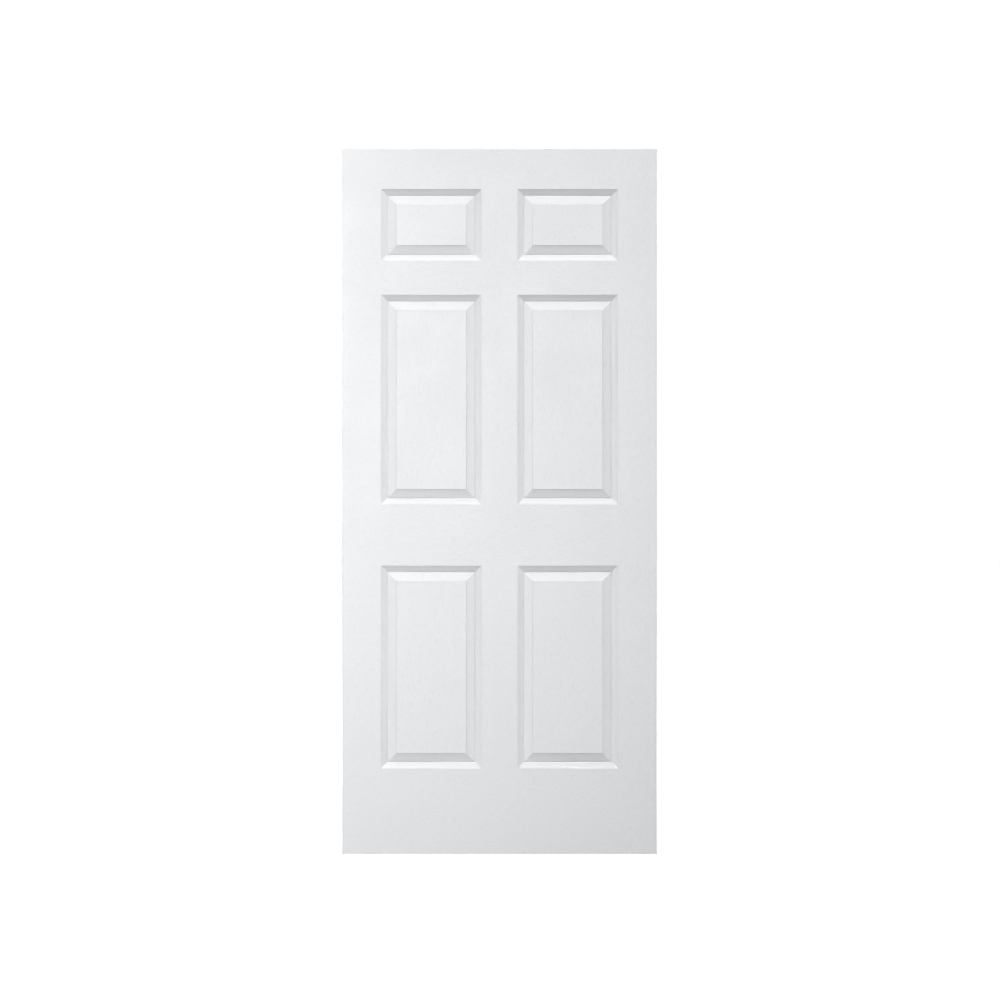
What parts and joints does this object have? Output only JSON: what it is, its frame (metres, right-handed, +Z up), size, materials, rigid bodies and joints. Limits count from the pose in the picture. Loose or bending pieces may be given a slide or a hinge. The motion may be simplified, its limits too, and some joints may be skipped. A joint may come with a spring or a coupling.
{
  "type": "six-panel interior door",
  "caption": "Hollow-core interior door slab with moulded raised panels, embossed wood grain and a white primed finish, blank for hinges and latch.",
  "frame": {"origin": "middle of the slab's bottom edge, halfway through its thickness", "axes": "+Z up the height, +X across the width to the right as seen from the front, -Y out of the front face"},
  "size_m": [0.908, 0.035, 2.032],
  "materials": {
    "primed_skin": "satin",
    "primed_timber": "satin",
    "bare_timber": "matte",
    "kraft_paper": "matte",
    "staple_wire": "satin"
  },
  "bodies": {
    "root": {"front_skin": "primed_skin", "back_skin": "primed_skin", "left_stile": "primed_timber", "right_stile": "primed_timber", "top_rail": "bare_timber", "bottom_rail": "bare_timber", "left_lock_block": "bare_timber", "right_lock_block": "bare_timber", "honeycomb_core": "kraft_paper", "corner_staples": "staple_wire"}
  },
  "joints": []
}
